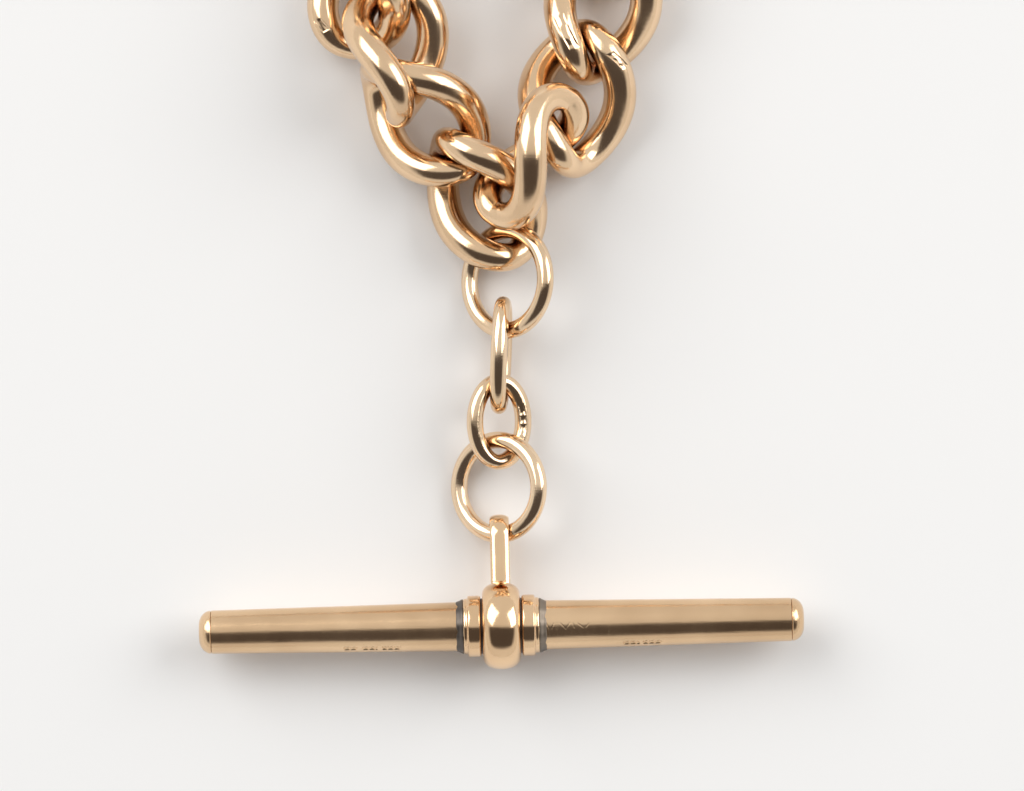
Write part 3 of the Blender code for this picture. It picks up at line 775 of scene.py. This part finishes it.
def carved(base, *steps):
    """The base mesh after joining or cutting with helpers, which are then removed."""
    for tool, operation in steps:
        modifier = base.modifiers.new(tool.name, "BOOLEAN")
        modifier.operation = operation
        modifier.solver = "EXACT"
        modifier.object = tool
    graph = bpy.context.evaluated_depsgraph_get()
    data = bpy.data.meshes.new_from_object(base.evaluated_get(graph))
    for obj in (base, *(tool for tool, _ in steps)):
        bpy.data.objects.remove(obj)
    return data


def upright(name, radius, height, centre):
    """A cylinder about Z as a helper, with small chamfers."""
    half, edge = height / 2, min(CHAMFER, radius / 4)
    profile = [
        (-half, CORE),
        (-half, radius - edge),
        (edge - half, radius),
        (half - edge, radius),
        (half, radius - edge),
        (half, CORE),
    ]
    points, faces = lathe(profile, PIN_STEPS)
    return helper(name, points[:, [1, 2, 0]] + centre, faces)


def hook_point(degrees):
    """A point of the hook's oval, from the far end of its long axis."""
    near = BARREL_START + BARREL_LENGTH - HOOK_WIRE / 4
    t = math.radians(degrees)
    x = near + HOOK_HALF_LENGTH * (1 + math.cos(t))
    return np.array((x, HOOK_HALF_WIDTH * math.sin(t), 0.0))


def build_swivel(side):
    """One clasp, in its own frame: X from the eye to the hook's tip, and Z up."""
    prefix = f"swivel_{side}"
    axes = np.array(SWIVEL_AXES).T
    pivot = hook_point(PIVOT_ANGLE)
    origin = middle_of(f"{prefix}_pivot_pin") - axes @ pivot
    build_hook(prefix, pivot, axes, origin)
    build_gate(prefix, pivot, axes, origin)
    build_rivet(prefix, pivot, axes, origin)
    build_spring(prefix, pivot, axes, origin)
    build_eye(prefix, axes, origin)


def build_hook(prefix, pivot, axes, origin):
    """The barrel and the hook, with the slotted lug that holds the gate, bored for the shank."""
    end = BARREL_START + BARREL_LENGTH
    radius = BARREL_DIAMETER / 2
    shell = [
        (BARREL_START, CORE),
        (BARREL_START, radius - BARREL_SHOULDER),
        (BARREL_START + BARREL_ROUND, radius - BARREL_ROUND / 5),
        ((BARREL_START + end) / 2, radius),
        (end - BARREL_ROUND, radius - BARREL_ROUND / 2),
        (end, radius - BARREL_SHOULDER),
        (end, CORE),
    ]
    barrel = helper("barrel", *lathe(rounded(shell, BARREL_EASE), BARREL_STEPS))
    turns = np.linspace(HOOK_ROOT_ANGLE, -BEAK_ANGLE, HOOK_STEPS)
    line = np.array([hook_point(turn) for turn in turns])
    slim = np.clip(np.arange(HOOK_STEPS) / (HOOK_STEPS / 2) - 1, 0, 1)
    radii = (HOOK_WIRE - (HOOK_WIRE - HOOK_TIP_WIRE) * slim) / 2
    hook = helper("hook", *sweep(line, radii, False, around(HOOK_SIDES)))
    lug = upright("lug", LUG_RADIUS, LUG_HEIGHT, pivot)
    slot = upright("slot", SLOT_RADIUS, SLOT_HEIGHT, pivot)
    pin_hole = upright("pin_hole", PIN_HOLE_RADIUS, LUG_HEIGHT * 2, pivot)
    ends = (BORE_FROM, end + BORE_PAST)
    tube = [(x, r) for x, r in zip(np.repeat(ends, 2), (CORE, BORE_RADIUS, BORE_RADIUS, CORE))]
    bore = helper("bore", *lathe(tube, PIN_STEPS))
    cuts = ((slot, "DIFFERENCE"), (pin_hole, "DIFFERENCE"), (bore, "DIFFERENCE"))
    data = carved(barrel, (hook, "UNION"), (lug, "UNION"), *cuts)
    finish_swivel(f"{prefix}_hook_fine", data, clasp_gold, f"{prefix}_body", axes, origin)


def build_gate(prefix, pivot, axes, origin):
    """The gate: an arm that rises from its drilled knuckle to the middle of the hook."""
    knuckle = pivot + (0, 0, KNUCKLE_GAP - (SLOT_HEIGHT - KNUCKLE_HEIGHT) / 2)
    turns = np.linspace(PIVOT_ANGLE - 360, -BEAK_ANGLE - GATE_TIP_ANGLE, GATE_STEPS)
    line = np.array([hook_point(turn) for turn in turns])
    along = np.clip(np.arange(GATE_STEPS) / GATE_RISE_STEPS, 0, 1) ** GATE_RISE_POWER
    line[:, 2] = knuckle[2] * (1 - along)
    radii = (GATE_ROOT_WIRE * (1 - along) + GATE_WIRE * along) / 2
    gate = helper("gate", *sweep(line, radii, False, around(GATE_SIDES)))
    disc = upright("knuckle", KNUCKLE_RADIUS, KNUCKLE_HEIGHT, knuckle)
    hole = upright("gate_hole", PIN_HOLE_RADIUS, KNUCKLE_HEIGHT * 3, knuckle)
    data = carved(gate, (disc, "UNION"), (hole, "DIFFERENCE"))
    finish_swivel(f"{prefix}_gate_fine", data, clasp_gold, f"{prefix}_gate", axes, origin)


def build_rivet(prefix, pivot, axes, origin):
    """The pivot pin, with chamfered ends that stand proud of the lug."""
    half = LUG_HEIGHT / 2 + PIN_PROUD
    start = [(-1, CORE), (-1, PIN_END_RADIUS), (-PIN_CHAMFER_AT, PIN_RADIUS)]
    profile = start + [(-x, radius) for x, radius in start[::-1]]
    profile = [(x * half, radius) for x, radius in profile]
    points, faces = lathe(rounded(profile, PIN_EASE), PIN_SIDES)
    points = (points[:, [1, 2, 0]] + pivot) @ axes.T + origin
    new_piece(f"{prefix}_rivet", points, faces, steel, f"{prefix}_pivot_pin")


def build_spring(prefix, pivot, axes, origin):
    """The gate's spring: two turns of fine wire round the pivot pin, above the knuckle."""
    turns = np.linspace(0, SPRING_TURNS * math.tau, SPRING_STEPS)
    level = SPRING_MIDDLE + SPRING_HALF_HEIGHT * (turns / math.tau - SPRING_TURNS / 2)
    coil = np.stack([SPRING_RADIUS * np.cos(turns), SPRING_RADIUS * np.sin(turns), level], axis=-1)
    radii = np.full(SPRING_STEPS, SPRING_WIRE / 2)
    points, faces = sweep(coil + pivot, radii, False, around(SPRING_SIDES))
    new_piece(f"{prefix}_spring", points @ axes.T + origin, faces, steel, f"{prefix}_gate_spring")


def build_eye(prefix, axes, origin):
    """The eye's ring and shank, with the button that keeps it in the hook."""
    node = f"{prefix}_eye"
    local = (points_of(node) - origin) @ axes
    rim = local[local[:, 0] < 0]
    _, _, rows = np.linalg.svd(rim, full_matrices=False)
    normal = rows[2]
    button_at = local[:, 0].max() - BUTTON_HEIGHT
    turns = around(EYE_STEPS)
    width = unit(np.cross(normal, (1, 0, 0)))
    line = np.cos(turns)[:, None] * np.array((EYE_HALF, 0, 0)) + (
        np.sin(turns)[:, None] * width * EYE_HALF
    )
    radii = np.full(EYE_STEPS, EYE_WIRE / 2)
    ring = helper("ring", *sweep(line, radii, True, around(EYE_SIDES), normal))
    button = BUTTON_DIAMETER / 2
    profile = [
        (EYE_HALF, CORE),
        (EYE_HALF, SHANK_DIAMETER / 2 + 0.2),
        (EYE_HALF + EYE_WIRE / 2 + 0.15, SHANK_DIAMETER / 2),
        (button_at, SHANK_DIAMETER / 2),
        (button_at, button),
        (button_at + BUTTON_HEIGHT / 2, button),
        (button_at + BUTTON_HEIGHT, button / 2),
        (button_at + BUTTON_HEIGHT, CORE),
    ]
    shank = helper("shank", *lathe(rounded(profile, BUTTON_EASE), PIN_STEPS))
    data = carved(ring, (shank, "UNION"))
    finish_swivel(f"{prefix}_eye_fine", data, clasp_gold, node, axes, origin)


def finish_swivel(name, data, material, cad_node, axes, origin):
    """A mesh in the clasp's frame, moved to where the clasp lies and made a piece."""
    matrix = Matrix(axes).to_4x4()
    matrix.translation = Vector(origin) * MM
    data.transform(matrix)
    finish_piece(name, data, material, cad_node)


# ---------------------------------------------------------------- floor, light and camera

STUDIO = (1.0, 0.985, 0.965, 1)
STUDIO_STRENGTH = 0.765
ROOM = (0.115, 0.10, 0.095, 1)


# The dark opening in the tent: its middle, half-width and soft edge in degrees from straight up,
# across the view and towards its near side.
OPENING_ACROSS = (2, 58, 16)
OPENING_FORWARD = (32, 30, 9)

# Softboxes: name, place and side in metres, and power in watts. Both face the table's middle.
SOFTBOXES = (("key", (-0.4, 0.25, 0.42), 0.5, 2.1), ("side", (0.45, 0.15, 0.36), 0.42, 1.6))
SOFTBOX_COLOUR = (1.0, 0.99, 0.97)
SOFTBOX_TARGET = (0, -0.04, 0)

FLOOR_CELLS = 24
FLOOR_HALF = 0.6
FLOOR_LEVEL = -0.00003


def lay_floor():
    """A plain pale floor, just under the lowest piece."""
    steps = np.linspace(-FLOOR_HALF, FLOOR_HALF, FLOOR_CELLS + 1)
    points = [(x, y, FLOOR_LEVEL) for y in steps for x in steps]
    row = FLOOR_CELLS + 1
    corners = [j * row + k for j in range(FLOOR_CELLS) for k in range(FLOOR_CELLS)]
    faces = [(c, c + 1, c + row + 1, c + row) for c in corners]
    data = bpy.data.meshes.new("floor")
    data.from_pydata(points, [], faces)
    floor = bpy.data.objects.new("floor", data)
    data.materials.append(paper_floor())
    bpy.context.scene.collection.objects.link(floor)


def light_room():
    """A white tent all round, with the dark of the room beyond its front opening."""
    world = bpy.data.worlds.new("studio")
    bpy.context.scene.world = world
    world.use_nodes = True
    nodes = Nodes(world.node_tree)
    background = world.node_tree.nodes["Background"]
    where = nodes.add("ShaderNodeTexCoord").outputs["Generated"]
    parts = nodes.add("ShaderNodeSeparateXYZ")
    nodes.link(where, parts.inputs[0])
    x, y, z = parts.outputs
    across = nodes.math("ARCTAN2", x, z)
    forward = nodes.math("ARCTAN2", nodes.math("MULTIPLY", y, -1.0), z)
    sideways = edge_box(nodes, across, *OPENING_ACROSS)
    opening = nodes.math("MULTIPLY", sideways, edge_box(nodes, forward, *OPENING_FORWARD))
    above = nodes.math("GREATER_THAN", z, 0.0)
    dark = nodes.math("MULTIPLY", opening, above)
    mix = nodes.add("ShaderNodeMix", data_type="RGBA")
    nodes.link(dark, mix.inputs["Factor"])
    mix.inputs["A"].default_value = STUDIO
    mix.inputs["B"].default_value = ROOM
    nodes.link(mix.outputs["Result"], background.inputs["Color"])
    background.inputs["Strength"].default_value = STUDIO_STRENGTH


def edge_box(nodes, angle, centre, half, soft):
    """1 within centre ± half, in degrees, with edges that fade over `soft`."""
    off = nodes.math("ABSOLUTE", nodes.math("SUBTRACT", angle, math.radians(centre)))
    inside = nodes.math("SUBTRACT", math.radians(half + soft / 2), off)
    fade = nodes.math("DIVIDE", inside, math.radians(soft))
    return nodes.math("MINIMUM", nodes.math("MAXIMUM", fade, 0.0), 1.0)


def add_softbox(name, at, side, power):
    data = bpy.data.lights.new(name, "AREA")
    data.shape = "SQUARE"
    data.size = side
    data.energy = power
    data.color = SOFTBOX_COLOUR
    lamp = bpy.data.objects.new(name, data)
    lamp.location = at
    towards = Vector(SOFTBOX_TARGET) - Vector(at)
    lamp.rotation_euler = towards.to_track_quat("-Z", "Y").to_euler()
    bpy.context.scene.collection.objects.link(lamp)


def aim_camera():
    """Straight down on the part of the table that the photograph shows."""
    middle, _ = bar_frame()
    data = bpy.data.cameras.new("camera")
    data.sensor_width = SENSOR
    data.lens = SENSOR * CAMERA_HEIGHT / (VIEW_WIDTH * MM)
    data.clip_start = 0.01
    camera = bpy.data.objects.new("camera", data)
    across, back = middle[0] + VIEW_ACROSS, middle[1] + VIEW_BACK
    camera.location = (across * MM, back * MM, CAMERA_HEIGHT)
    bpy.context.scene.collection.objects.link(camera)
    bpy.context.scene.camera = camera


build_links()
build_bead()
for which in ("left", "right"):
    build_bar_half(which)
    build_swivel(which)
build_bail()
lay_floor()
light_room()
for softbox in SOFTBOXES:
    add_softbox(*softbox)
aim_camera()
bpy.context.scene.view_settings.view_transform = "Standard"
